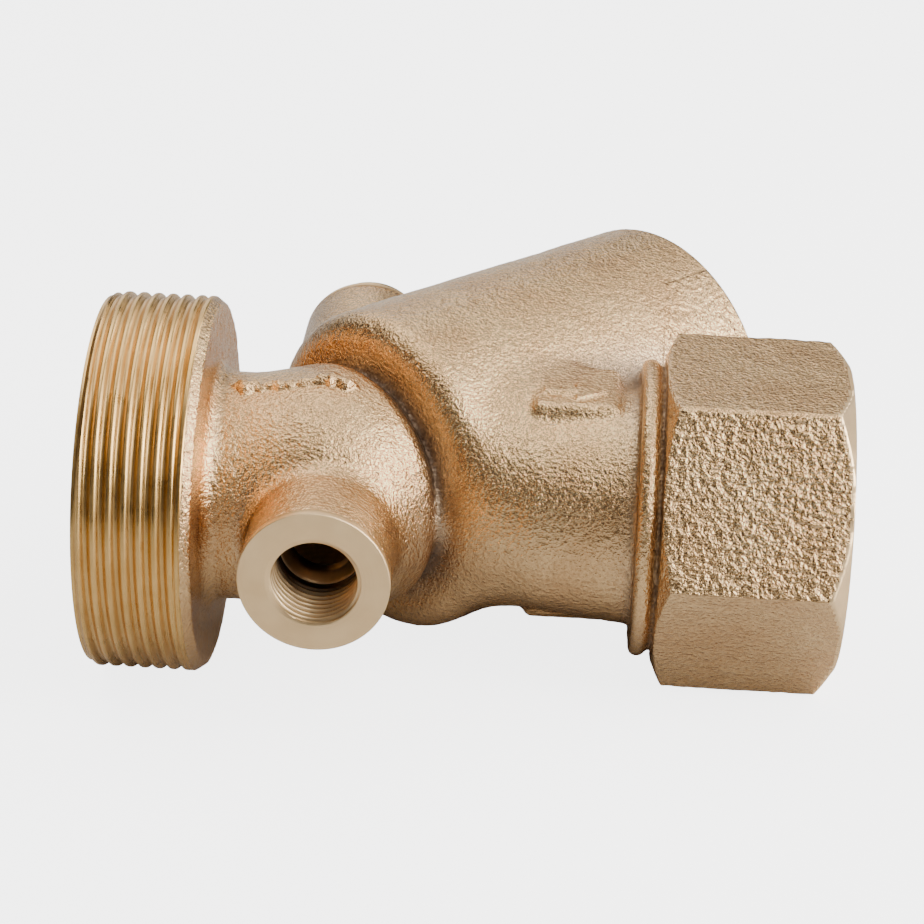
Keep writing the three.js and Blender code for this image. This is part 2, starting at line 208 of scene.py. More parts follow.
def dual_contour(field, axes, step):
    """Quads on the zero level of a field, with one vertex in each cell that the surface crosses. Vertices
    sit where the surface's tangent planes meet, so flat faces and edges stay true."""
    slopes = np.gradient(field, step)
    cells = np.array(field.shape) - 1
    keys, points, normals, quads = [], [], [], []
    for direction in range(3):
        first = [slice(None)] * 3
        second = [slice(None)] * 3
        first[direction] = slice(None, -1)
        second[direction] = slice(1, None)
        near, far = field[tuple(first)], field[tuple(second)]
        index = np.argwhere((near < 0) != (far < 0))
        u, v = [d for d in range(3) if d != direction]
        index = index[(index[:, u] > 0) & (index[:, v] > 0)]
        index = index[(index[:, u] < cells[u]) & (index[:, v] < cells[v])]
        ahead = index.copy()
        ahead[:, direction] += 1
        a, b = field[tuple(index.T)], field[tuple(ahead.T)]
        share = (a / (a - b))[:, None]
        point = index + (ahead - index) * share
        normal = np.stack([s[tuple(index.T)] for s in slopes], 1) * (1 - share)
        normal += np.stack([s[tuple(ahead.T)] for s in slopes], 1) * share
        normal /= np.linalg.norm(normal, axis=1, keepdims=True) + 1e-9
        corners = []
        for du, dv in ((0, 0), (-1, 0), (-1, -1), (0, -1)):
            cell = index.copy()
            cell[:, u] += du
            cell[:, v] += dv
            key = (cell[:, 0] * cells[1] + cell[:, 1]) * cells[2] + cell[:, 2]
            corners.append(key)
            keys.append(key)
            points.append(point)
            normals.append(normal)
        quad = np.stack(corners, 1)
        flip = (a < 0) == (direction == 1)
        quad[flip] = quad[flip][:, ::-1]
        quads.append(quad)
    keys, points, normals = np.concatenate(keys), np.concatenate(points), np.concatenate(normals)
    unique, inverse = np.unique(keys, return_inverse=True)
    total = len(unique)

    def summed(weights):
        return np.bincount(inverse, weights, total)

    count = summed(np.ones(len(keys)))
    middle = np.stack([summed(points[:, k]) for k in range(3)], 1) / count[:, None]
    offset = np.einsum("ij,ij->i", normals, points - middle[inverse])
    matrix = np.empty((total, 3, 3))
    right = np.stack([summed(normals[:, k] * offset) for k in range(3)], 1)
    for i in range(3):
        for j in range(3):
            matrix[:, i, j] = summed(normals[:, i] * normals[:, j])
    matrix += np.eye(3) * (0.08 * count[:, None, None])
    move = np.linalg.solve(matrix, right[..., None])[..., 0]
    vertex = middle + np.clip(move, -0.9, 0.9)
    start = np.array([axis[0] for axis in axes])
    faces = np.searchsorted(unique, np.concatenate(quads))
    return start + vertex * step, faces


# ------------------------------------------------------------------ the casting

class Grid:
    """A block of points in the casting's millimetres, with their distances along and from its axes."""

    def __init__(self, axes, step):
        self.step = step
        self.axes = axes
        self.x = axes[0][:, None, None]
        self.y = axes[1][None, :, None]
        self.z = axes[2][None, None, :]
        self.along = ((self.x - CROSSING) + self.y) / ROOT2
        self.across = np.sqrt((((self.x - CROSSING) - self.y) / ROOT2) ** 2 + self.z ** 2)
        self.flow_radius = np.sqrt(self.y ** 2 + self.z ** 2)

    def from_crossing(self):
        """The distance from where the barrel's axis crosses the flow's."""
        return np.sqrt((self.x - CROSSING) ** 2 + self.y ** 2 + self.z ** 2)

    def from_boss(self, boss):
        """The distance from a test boss's axis."""
        return np.sqrt((self.x - boss.x) ** 2 + self.z ** 2)


def left_side_field(g):
    """The flange behind the union thread, the neck and the bulb where the barrel crosses it."""
    flange = turned_profile(g.x, g.flow_radius, [
        (10, 0), (10, UNION.crest), (UNION.length, UNION.crest),
        (FLANGE.back, FLANGE.back_radius), (FLANGE.back, 0),
    ])
    neck = cylinder(g.x, g.flow_radius, 8, CROSSING, NECK_RADIUS)
    ball = np.maximum(g.from_crossing() - BULB.radius, g.along - 2)
    drum = cylinder(g.along, g.across, -2, BULB.end, BULB.radius, BULB.round)
    return round_join(round_join(flange, neck, FLANGE.fillet), np.minimum(ball, drum), 2.5)


def right_side_field(g):
    """The barrel, the tube to the socket with its pads, and the collar before the hexagon."""
    barrel = cylinder(g.along, g.across, BARREL.start, BARREL.mouth + 6, BARREL.radius, BARREL.round)
    shoulder = rounded([
        (TUBE.start, TUBE.start_radius), (TUBE.shoulder, TUBE.radius),
        (TUBE.end + 8, TUBE.end_radius + 0.9),
    ], 9.0, 6)
    tube = turned_profile(g.x, g.flow_radius, [(TUBE.start, 0), *shoulder, (TUBE.end + 8, 0)])
    block = rounded_box(
        np.abs(g.x - (PAD.start + PAD.end) / 2) - (PAD.end - PAD.start) / 2,
        np.maximum(-g.y - PAD.half_width, g.y - PAD.half_width - 7),
        np.abs(g.z) - PAD.height, 1.4,
    )
    collar = cylinder(g.x, g.flow_radius, COLLAR.start, COLLAR.end, COLLAR.radius, 1.2)
    root = cylinder(g.x, g.flow_radius, COLLAR.start + 0.8, HEX.start + 3, COLLAR.groove)
    field = round_join(round_join(barrel, tube, 7.0), block, 1.3)
    return round_join(field, round_join(collar, root, 0.8), 1.0)


def outside_field(g):
    """The cast outside, before any machining. The valley's fillet widens towards the underside."""
    valley_fillet = 2.2 + 4.0 * np.clip((6.0 - g.z) / 14.0, 0, 1)
    field = round_join(left_side_field(g), right_side_field(g), valley_fillet)
    field = round_join(field, cylinder(-g.y, g.from_boss(FRONT_BOSS), 0, 40, FRONT_BOSS.radius), 1.8)
    return round_join(field, cylinder(g.y, g.from_boss(REAR_BOSS), 28, 70, REAR_BOSS.radius), 2.2)


def corner_chamfer(g, inwards, depth):
    """The cone that turns off the hexagon's corners at an end. inwards is how far in from it a point is."""
    slope = (HEX.flats / math.sqrt(3) - HEX.face) / depth
    return (g.flow_radius - HEX.face - inwards * slope) / math.hypot(1, slope)


def hexagon_field(g):
    """The cast hexagon: flats above and below and two pairs of slanting ones."""
    half = HEX.flats / 2
    flats = np.abs(g.z) - half
    for side in (1, -1):
        flats = np.maximum(flats, np.abs(math.cos(math.pi / 6) * g.y + side * 0.5 * g.z) - half)
    chamfer = corner_chamfer(g, g.x - HEX.start, HEX.left)
    return np.maximum(np.maximum(flats + 0 * g.x, HEX.start - g.x), chamfer)


def passages_field(g):
    """The flow passages, the screen chamber and the ports' drillings."""
    inlet = cylinder(g.x, g.flow_radius, -10, CROSSING, UNION.bore)
    chamber = turned_profile(g.along, g.across, [
        (0, 0), (0, SEAT.bore), (SEAT.start, SEAT.bore), (SEAT.start, SEAT.recess),
        (CHAMBER.start, SEAT.recess), (CHAMBER.start, CHAMBER.radius),
        (CHAMBER.end - 1, CHAMBER.radius), (CHAMBER.end - 1, MOUTH_THREAD.relief),
        (90, MOUTH_THREAD.relief), (90, 0),
    ])
    outlet = turned_profile(g.x, g.flow_radius, [
        (OUTLET.start, 0), (OUTLET.start, OUTLET.start_bore), (OUTLET.throat, OUTLET.bore),
        (OUTLET.flare, OUTLET.end_bore), (SOCKET.start - 1, OUTLET.end_bore),
        (SOCKET.start - 1, SOCKET.relief), (130, SOCKET.relief), (130, 0),
    ])
    field = round_join(inlet, g.from_crossing() - INLET_CHAMBER, 1.0)
    field = np.minimum(np.minimum(field, chamber), outlet)
    for boss, side, inner in ((FRONT_BOSS, -1, 8), (REAR_BOSS, 1, 28)):
        deep = boss.face - PORT.depth
        port = turned_profile(side * g.y, g.from_boss(boss), [
            (inner, 0), (inner, PORT.drill), (deep - 1.5, PORT.drill), (deep, PORT.minor),
            (deep, PORT.relief), (boss.face + 9, PORT.relief), (boss.face + 9, 0),
        ])
        field = np.minimum(field, port)
    return field


def flash_field(g, outside):
    """The ragged seam left on top of the neck where the mould leaked. It follows the skin."""
    knots = np.random.default_rng(7).uniform(-1, 1, (2, 40))
    place = (g.axes[0] - 20.0) / 0.9
    cell = np.clip(place.astype(int), 0, 38)
    share = np.clip(place - cell, 0, 1)
    wander, swell = knots[:, cell] * (1 - share) + knots[:, cell + 1] * share
    ends = np.clip(np.minimum(g.axes[0] - FLASH.start, FLASH.end - g.axes[0]) / 1.5, 0, 1)
    centre = (FLASH.y + 0.6 * wander)[:, None, None]
    radius = ((FLASH.radius + 0.5 * swell) * ends - 0.3 * (1 - ends))[:, None, None]
    ridge = np.sqrt((g.y - centre) ** 2 + (outside - 0.1) ** 2) - radius
    return np.where(g.z > 5, ridge, 9.0)


def arrow_field(g):
    """A raised arrow on the pads, pointing the way the water flows."""
    aside = np.abs(g.y - ARROW.y)
    shaft = np.maximum(np.abs(g.x - ARROW.middle) - ARROW.half_length, aside - ARROW.half_width)
    head = np.maximum(ARROW.head - g.x, (g.x - ARROW.tip) * 0.62 + aside)
    return np.maximum(np.minimum(shaft, head), np.abs(g.z - PAD.height) - ARROW_RAISED)


def blurred(values, reach):
    """The values averaged over a soft ball that reaches about that many cells."""
    half = max(1, round(reach))
    for axis in (0, 1, 2) * 2:
        wide = [(0, 0)] * 3
        wide[axis] = (half + 1, half)
        total = np.cumsum(np.pad(values, wide), axis=axis, dtype=np.float32)
        size = values.shape[axis]
        ahead = np.take(total, np.arange(size) + 2 * half + 1, axis=axis)
        values = (ahead - np.take(total, np.arange(size), axis=axis)) / (2 * half + 1)
    return values


def sampled(values, g, points):
    """The value of a grid of numbers nearest to each point, endless beyond the grid."""
    index = np.round((points - [axis[0] for axis in g.axes]) / g.step).astype(int)
    size = np.array(values.shape) - 1
    within = np.all((index >= 0) & (index <= size), axis=1)
    index = np.clip(index, 0, size)
    return np.where(within, values[tuple(index.T)], np.inf)


def cast_skin(g, outside, hexagon):
    """The cast outside with its flash, arrows, sand grain and low lumps, calmer next to the bosses."""
    near_boss = np.minimum(
        g.from_boss(FRONT_BOSS) + 4 * np.maximum(0, g.y + 15),
        g.from_boss(REAR_BOSS) + 4 * np.maximum(0, 40 - g.y),
    )
    rough = np.clip((near_boss - FRONT_BOSS.radius) / 3.0, 0.12, 1)
    grain = smooth_noise(g.axes, 1.1, 1) * 0.065 + smooth_noise(g.axes, 2.3, 2) * 0.035
    lumps = smooth_noise(g.axes, 7.0, 3) * 0.08
    outside = round_join(outside, flash_field(g, outside), 0.3)
    outside = round_join(outside, arrow_field(g), 0.35)
    return round_join(outside + (grain * 0.8 + lumps) * rough, hexagon + grain * 0.9 + lumps * 0.6, 0.6)


def end_cuts(g):
    """What the lathe takes off: the union end, the hexagon's end, the barrel's mouth and its rim."""
    in_barrel = g.across < BARREL.radius + 6
    rim = (g.along + g.across - BARREL.mouth - BARREL.radius + BARREL.rim) / ROOT2
    return [
        UNION.length - g.x,
        np.maximum(g.x - LENGTH, corner_chamfer(g, LENGTH - g.x, HEX.right)),
        np.where(in_barrel, g.along - BARREL.mouth, -9.0),
        np.where(in_barrel & (g.along > BARREL.start), rim, -9.0),
    ]


def casting_mesh(step):
    """Vertices in millimetres, quads, a machined flag for each quad and each vertex's marks. The fields are
    worked out above the plane of symmetry and mirrored; the cast skin differs on the two sides."""
    axes = [np.arange(low, high + step, step, dtype=np.float32) for low, high in CASTING_SPAN]
    half = Grid(axes, step)
    g = Grid([*axes[:2], np.concatenate([-axes[2][:0:-1], axes[2]])], step)
    outside, hexagon, passages = (
        np.concatenate([values[:, :, :0:-1], values], axis=2)
        for values in (outside_field(half), hexagon_field(half), passages_field(half))
    )
    cuts = end_cuts(g)
    shell = cast_skin(g, outside, hexagon)
    for cut in cuts:
        shell = np.maximum(shell, cut)
    field = np.maximum(shell, -passages)
    for boss, side in ((FRONT_BOSS, -1), (REAR_BOSS, 1)):
        near = g.from_boss(boss) < boss.radius + 2
        field = np.maximum(field, np.where(near, side * g.y - (boss.face - RING_DEPTH), -9.0))

    points, quads = dual_contour(field.astype(np.float64), g.axes, step)
    points[:, 0] = np.minimum(points[:, 0], LENGTH)
    centre = points[quads].mean(axis=1)
    inner = sampled(passages, g, centre)
    turned = sampled(np.maximum(np.maximum(cuts[1], cuts[2]), cuts[0] - 3), g, centre)
    machined = (np.abs(inner) < step * 1.2) | (np.abs(turned) < step * 0.9)

    solid = (shell < 0).astype(np.float32)
    slanting = (points[:, 0] > HEX.start) & (points[:, 2] > 0) & (points[:, 2] < HEX.flats / 2 - 0.4)
    # The share of solid metal within a small and a large ball round each point: the masks for painted shade
    # in deep corners and down the bores, and for patina with painted shade in broad hollows.
    marks = {
        "corner_shade": sampled(blurred(solid, 1.8 / step), g, points),
        "hollow": sampled(blurred(solid, 8.0 / step), g, points),
        "coarse": slanting.astype(float),
    }
    return points, quads, machined, marks


# ------------------------------------------------------------------ turned pieces

def plain(along, radius, angle):
    """A round section: the profile's own radius at every angle."""
    return np.full_like(angle, radius)


def thread(low_radius, high_radius, pitch, start, end, lead=0.6, groove=0.9, ceiling=None, floor=None):
    """A right-hand thread between two radii, whose grooves take up that share of the pitch. It fades to the
    low radius at both ends. A ceiling or floor is a radius at each place along the axis."""
    def radius_at(along, _, angle):
        turn = (along / pitch - angle / (2 * math.pi)) % 1.0
        ridge = np.clip((np.abs(2 * turn - 1) - 0.1) / (groove - 0.1), 0, 1)
        ridge = ridge * ridge * (3 - 2 * ridge)
        fade = min(1.0, max(0.0, (along - start) / lead), max(0.0, (end - along) / lead))
        radius = low_radius + (high_radius - low_radius) * ridge * fade
        if ceiling:
            radius = np.minimum(radius, ceiling(along))
        if floor:
            radius = np.maximum(radius, floor(along))
        return radius
    return radius_at


def hexagonal(across_flats):
    """A hexagon, cut back to the profile's own radius where that is smaller."""
    def radius_at(_, radius, angle):
        from_flat = (angle + math.pi / 6) % (math.pi / 3) - math.pi / 6
        return np.minimum(radius, across_flats / 2 / np.cos(from_flat))
    return radius_at


def span(start, end, step):
    """Places from start to end, both included, no more than about a step apart."""
    return np.linspace(start, end, max(2, int(abs(end - start) / step) + 2))


def wrapped_quads(count, sides, closed):
    """Quads between rings of points, from each ring to the next, and back to the first where closed."""
    last = count if closed else count - 1
    j, i = np.meshgrid(np.arange(last), np.arange(sides), indexing="ij")
    after, beside = (j + 1) % count, (i + 1) % sides
    quads = np.stack([j * sides + i, j * sides + beside, after * sides + beside, after * sides + i], -1)
    return quads.reshape(-1, 4)


def swept(sections, closed=True, sides=SMALL_SIDES):
    """Vertices and faces of a turned piece along Z. Each section is (points, shape): points are (along,
    radius) pairs and shape gives the radius at each angle."""
    angle = np.arange(sides) * (2 * math.pi / sides)
    rings = []
    for points, shape in sections:
        for along, radius in points:
            r = shape(along, radius, angle) if radius > 0 else angle * 0
            rings.append(np.stack([r * np.cos(angle), r * np.sin(angle), angle * 0 + along], 1))
    vertices = np.concatenate(rings)
    quads = wrapped_quads(len(rings), sides, closed)
    a, b, c, d = (vertices[quads[:, k]] for k in range(4))
    volume = np.einsum("ij,ij->i", a, np.cross(b, c)) + np.einsum("ij,ij->i", a, np.cross(c, d))
    return vertices, quads if volume.sum() > 0 else quads[:, ::-1]


def placed(vertices, axis, origin):
    """Vertices drawn along Z, laid along an axis of the casting's own frame."""
    axis = np.array(axis, dtype=float)
    side = np.cross([0.0, 0.0, 1.0], axis) if abs(axis[2]) < 0.9 else np.array([1.0, 0.0, 0.0])
    side /= np.linalg.norm(side)
    basis = np.stack([side, np.cross(axis, side), axis])
    return vertices @ basis + np.array(origin, dtype=float)


FLOW = ((1, 0, 0), (0, 0, 0))
ON_BARREL = (tuple(BARREL_AXIS), (CROSSING, 0, 0))
ON_FRONT_BOSS = ((0, -1, 0), (FRONT_BOSS.x, 0, 0))
ON_REAR_BOSS = ((0, 1, 0), (REAR_BOSS.x, 0, 0))


def union_ring():
    """The machined union end with its G 2 thread."""
    end, bore = UNION.length, UNION.bore
    height = UNION.crest - UNION.root

    def end_chamfer(along):
        return 28.5 + along * 1.15

    def run_out(along):
        return UNION.root + np.clip((along - end + 1.3) / 0.8, 0, 1) * (height - 0.02)

    shape = thread(UNION.root, UNION.crest, UNION.pitch, -3, end + 4, groove=0.88,
                   ceiling=end_chamfer, floor=run_out)
    return swept([
        ([(0.0, bore + 0.8), (0.0, 22.0), (0.0, 28.0)], plain),
        ([(x, 29) for x in span(0.0, end, UNION.pitch / 22)], shape),
        ([(end + 0.25, UNION.crest - 0.3), (end + 0.25, bore), (8.0, bore), (0.8, bore)], plain),
    ], sides=UNION_SIDES)


def port_ring(boss):
    """The machined end of a test boss with its G 1/4 thread."""
    face, radius = boss.face, boss.radius
    back, floor, outside = face - RING_DEPTH, face - PORT.depth, PORT.relief - 0.05
    shape = thread(PORT.minor, PORT.major, PORT.pitch, floor + 1.2, face + 2)

    def flared(along, base, angle):
        return np.maximum(PORT.mouth - (face - along) * 2.5, shape(along, base, angle))

    return swept([
        ([(face - 0.12, radius), (back, radius), (back, outside), (floor, outside)], plain),
        ([(along, PORT.minor) for along in span(floor, face - 0.02, PORT.pitch / 18)], flared),
        ([(face, PORT.mouth + 0.02), (face, radius - 2.0), (face, radius - 0.12)], plain),
    ], sides=SMALL_SIDES)


def socket_ring():
    """The Rp 1 1/4 thread inside the hexagon."""
    start, end = SOCKET.start, LENGTH
    back, outside, root = start - 0.9, SOCKET.relief - RING_GAP, OUTLET.end_bore + 0.05
    shape = thread(SOCKET.minor, SOCKET.major, SOCKET.pitch, start + 2, end + 3)

    def flared(along, base, angle):
        return np.maximum(SOCKET.mouth - (end - along), shape(along, base, angle))

    return swept([
        ([(end, outside), (back, outside), (back, root), (start, root), (start, 18.5)], plain),
        ([(x, SOCKET.minor) for x in span(start + 0.01, end, SOCKET.pitch / 18)], flared),
    ], sides=LARGE_SIDES)


def mouth_ring():
    """The thread and the counterbore in the barrel's mouth."""
    end, top = MOUTH_THREAD.end, BARREL.mouth
    bore, outside = MOUTH_THREAD.bore, MOUTH_THREAD.relief - RING_GAP
    counterbore = COUNTERBORE.radius
    floor = top - COUNTERBORE.depth
    shape = thread(MOUTH_THREAD.minor, MOUTH_THREAD.major, MOUTH_THREAD.pitch, end, floor + 2)
    return swept([
        ([(top, outside), (end - 0.95, outside), (end - 0.95, CHAMBER.radius + 0.05), (end, bore)], plain),
        ([(s, bore) for s in span(end + 0.01, floor, MOUTH_THREAD.pitch / 16)], shape),
        ([(floor, MOUTH_THREAD.major + 0.05), (floor, counterbore), (top, counterbore)], plain),
    ], sides=LARGE_SIDES)


# ------------------------------------------------------------------ cap, plugs, washers and screen

CAP = Sizes(
    spigot_end=54.6, crest=20.85, root=19.95, flange_bottom=70.4, flange=23.2,
    flange_top=73.8, flats=32.0, hex_top=78.8, pocket=18.2, pocket_floor=61.1,
    hollow=15.0, hollow_floor=66.5,
)
GASKET = Sizes(start=68.6, end=70.1, inner=20.95, outer=23.2)
SCREEN = Sizes(outer=17.4, inner=16.6, start=12.5, end=58.5, ring_inner=14.8, ring_outer=17.9)
PERFORATION = Sizes(around=30, rows=13, radius=1.15, margin=2.0)
WIRES = Sizes(around=168, along=72, mesh_radius=16.1, wire=0.1)
PLUG_THREAD = Sizes(crest=6.45, root=5.6, pitch=1.337)
DRAIN_PLUG = Sizes(seat=80.6, stem=9.0, flange=9.4, flange_height=1.6, flats=13.0, head=4.5)
REAR_PLUG = Sizes(seat=61.5, stem=9.0, head=9.6, height=3.0, key_flats=6.06, key_depth=6.0)
WASHER = Sizes(inner=6.6, outer=9.2, thickness=1.2)


def hex_head(start, top, flats, hole=0.0):
    """A hexagon head with its corners turned off, from its foot up and in to a hole or the axis."""
    corner = flats / math.sqrt(3)
    turned_off = corner - flats / 2 * 0.96
    shoulder = top - turned_off * 0.58
    sides = [(s, corner) for s in span(start, shoulder, 1.0)]
    slope = [(shoulder + (top - shoulder) * t, corner - turned_off * t) for t in span(0.1, 1, 0.1)]
    return sides + slope + [(top, flats / 2 * 0.8), (top, hole)]


def cap_shape():
    """The cap: a threaded spigot with the screen's pocket, a flange, a hexagon and the drain's thread."""
    foot, seat, flange_top, top = CAP.spigot_end, CAP.flange_bottom, CAP.flange_top, CAP.hex_top
    male = thread(CAP.root, CAP.crest, MOUTH_THREAD.pitch, foot + 0.3, seat - 1.2)
    spigot = [(s, CAP.root) for s in span(foot + 0.2, seat - 0.5, MOUTH_THREAD.pitch / 16)]
    female = thread(PORT.minor + 0.03, PORT.major + 0.05, PORT.pitch, CAP.hollow_floor, top)
    drilling = [(s, PORT.minor) for s in span(top - 0.7, CAP.hollow_floor, PORT.pitch / 16)]
    flange = [(seat, CAP.root), (seat, CAP.flange), (flange_top, CAP.flange), (flange_top, 19.5)]
    return swept([
        ([(foot, CAP.pocket), (foot, CAP.root - 0.4)], plain),
        (spigot, male),
        (rounded(flange, 0.5), plain),
        (hex_head(flange_top, top, CAP.flats, PORT.major + 0.6), hexagonal(CAP.flats)),
        (drilling, female),
        ([(CAP.hollow_floor, CAP.hollow), (CAP.pocket_floor, CAP.hollow),
          (CAP.pocket_floor, CAP.pocket)], plain),
    ], sides=LARGE_SIDES)


def flat_ring(start, end, inner, outer, edge, sides=180):
    """A flat ring with softened edges."""
    outline = [(start, (inner + outer) / 2), (start, outer), (end, outer), (end, inner), (start, inner),
               (start, (inner + outer) / 2 - 0.05)]
    return swept([(rounded(outline, edge), plain)], sides=sides)


def screen_ring(start, end):
    """An end ring of the screen, rolled round on its outside."""
    return flat_ring(start, end, SCREEN.ring_inner, SCREEN.ring_outer, (end - start) * 0.42, 240)


def plug_stem(tip, seat):
    """The sections of a plug's threaded stem, from its end up to its seat."""
    root, pitch = PLUG_THREAD.root, PLUG_THREAD.pitch
    male = thread(root, PLUG_THREAD.crest, pitch, tip + 0.3, seat - 1.0)
    return [
        ([(tip, 0), (tip, root - 0.5)], plain),
        ([(s, root) for s in span(tip + 0.4, seat - 0.3, pitch / 14)], male),
    ]


def plug_flange(seat, top, radius, inner, edge):
    """The round head or flange of a plug, from its seat to the start of what stands on or in its top."""
    outline = [(seat, PLUG_THREAD.root), (seat, radius), (top, radius), (top, inner)]
    return rounded(outline, edge), plain


def drain_plug_shape():
    """The cap's drain plug: a flange and a hexagon head."""
    seat = DRAIN_PLUG.seat
    top = seat + DRAIN_PLUG.flange_height
    return swept([
        *plug_stem(seat - DRAIN_PLUG.stem, seat),
        plug_flange(seat, top, DRAIN_PLUG.flange, 7.8, 0.35),
        (hex_head(top, top + DRAIN_PLUG.head, DRAIN_PLUG.flats), hexagonal(DRAIN_PLUG.flats)),
    ], closed=False)


def rear_plug_shape():
    """The rear boss's plug: a round head with a hexagon socket."""
    seat, key = REAR_PLUG.seat, REAR_PLUG.key_flats
    top = seat + REAR_PLUG.height
    floor = top - REAR_PLUG.key_depth
    return swept([
        *plug_stem(seat - REAR_PLUG.stem, seat),
        plug_flange(seat, top, REAR_PLUG.head, key / math.sqrt(3) + 0.5, 0.5),
        ([(top - 0.4, 9.0), (floor, 9.0)], hexagonal(key)),
        ([(floor - 1.2, 0)], plain),
    ], closed=False)


def washer_shape(face):
    """A plug's washer, laid on the face under it."""
    start = face + 0.3
    return flat_ring(start, start + WASHER.thickness, WASHER.inner, WASHER.outer, 0.25)


def turned_points(radius, angle, height):
    """Points round the Z axis, at that radius and height for each angle."""
    return np.stack([radius * np.cos(angle), radius * np.sin(angle), angle * 0 + height], 1)


def perforated_tube():
    """The screen's support tube: staggered rows of round holes through a thin wall. Each hole is a collar
    of quads from a patch of the outer skin in to the hole, through the wall and out to the inner patch."""
    around, rows = PERFORATION.around, PERFORATION.rows
    inner, outer, margin = SCREEN.inner, SCREEN.outer, PERFORATION.margin
    cell_height = (SCREEN.end - SCREEN.start - 2 * margin) / rows
    cell_width = 2 * math.pi * outer / around
    corners = 16
    border = []
    for k in range(corners):
        side, step = divmod(k, corners // 4)
        t = step / (corners // 4)
        border.append([(0.5 - t, 0.5), (-0.5, 0.5 - t), (t - 0.5, -0.5), (0.5, t - 0.5)][side])
    border = np.array(border) * (cell_width, cell_height)
    angle = (np.arange(corners) + 0.5) * 2 * math.pi / corners + math.pi / 4 - math.pi / corners
    circle = np.stack([np.cos(angle), np.sin(angle)], 1) * PERFORATION.radius
    middle = circle * 0.45 + border * 0.55
    vertices, faces = [], []
    count = 0

    def add(rings, quads):
        nonlocal count
        vertices.extend(rings)
        faces.append(quads + count)
        count += sum(len(ring) for ring in rings)

    for row in range(rows):
        height = SCREEN.start + margin + (row + 0.5) * cell_height
        for i in range(around):
            at = (i + (row % 2) / 2) * 2 * math.pi / around
            rings = [
                turned_points(radius, at + loop[:, 0] / outer, height + loop[:, 1])
                for radius, loops in ((outer, (border, middle, circle)), (inner, (circle, middle, border)))
                for loop in loops
            ]
            add(rings, wrapped_quads(len(rings), corners, closed=False))
    columns = around * corners // 4
    turn = np.arange(columns) * 2 * math.pi / columns
    for end, inwards, wound in ((SCREEN.start, margin, 1), (SCREEN.end, -margin, -1)):
        band = ((inner, end + inwards), (inner, end), (outer, end), (outer, end + inwards))
        rings = [turned_points(radius, turn, height) for radius, height in band]
        add(rings, wrapped_quads(len(rings), columns, closed=False)[:, ::wound])
    return np.concatenate(vertices), np.concatenate(faces)


def wire_tube(path, out, closed):
    """Vertices and faces of one wire along a path, square in section, with out as its outward side."""
    sides = 4
    corner = (np.arange(sides) * 2 * math.pi / sides + math.pi / 4)[:, None]
    ahead = np.roll(path, -1, 0) - np.roll(path, 1, 0)
    if not closed:
        ahead[0], ahead[-1] = path[1] - path[0], path[-1] - path[-2]
    ahead /= np.linalg.norm(ahead, axis=1, keepdims=True)
    side = np.cross(ahead, out)
    side /= np.linalg.norm(side, axis=1, keepdims=True)
    up = np.cross(side, ahead)
    tube = path[:, None] + WIRES.wire * (side[:, None] * np.cos(corner) + up[:, None] * np.sin(corner))
    faces = wrapped_quads(len(path), sides, closed)
    if not closed:
        first = np.arange(sides)
        caps = [first[::-1], first + (len(path) - 1) * sides]
        faces = np.concatenate([faces, caps])
    return tube.reshape(-1, 3), faces


def woven_mesh():
    """The fine mesh inside the support tube: wires along it and round it that pass over and under."""
    around, along = WIRES.around, WIRES.along
    radius, weave = WIRES.mesh_radius, WIRES.wire * 1.05
    turn = np.arange(around) * 2 * math.pi / around
    heights = np.linspace(SCREEN.start + 0.3, SCREEN.end - 0.3, along)
    wires = []
    for k, angle in enumerate(turn):
        r = radius + weave * (-1) ** (np.arange(along) + k)
        path = np.stack([r * math.cos(angle), r * math.sin(angle), heights], 1)
        out = np.tile([math.cos(angle), math.sin(angle), 0.0], (along, 1))
        wires.append(wire_tube(path, out, closed=False))
    for k, height in enumerate(heights):
        r = radius - weave * (-1) ** (np.arange(around) + k)
        wires.append(wire_tube(turned_points(r, turn, height), turned_points(1.0, turn, 0.0), closed=True))
    starts = np.cumsum([0] + [len(vertices) for vertices, _ in wires])
    faces = [faces + start for (_, faces), start in zip(wires, starts)]
    return np.concatenate([vertices for vertices, _ in wires]), np.concatenate(faces)


# ------------------------------------------------------------------ materials

def set_stops(ramp, stops):
    """Fills a colour ramp from (position, colour) pairs."""
    while len(ramp.elements) < len(stops):
        ramp.elements.new(0.5)
    for element, (position, colour) in zip(ramp.elements, stops):
        element.position = position
        element.color = (*colour, 1)


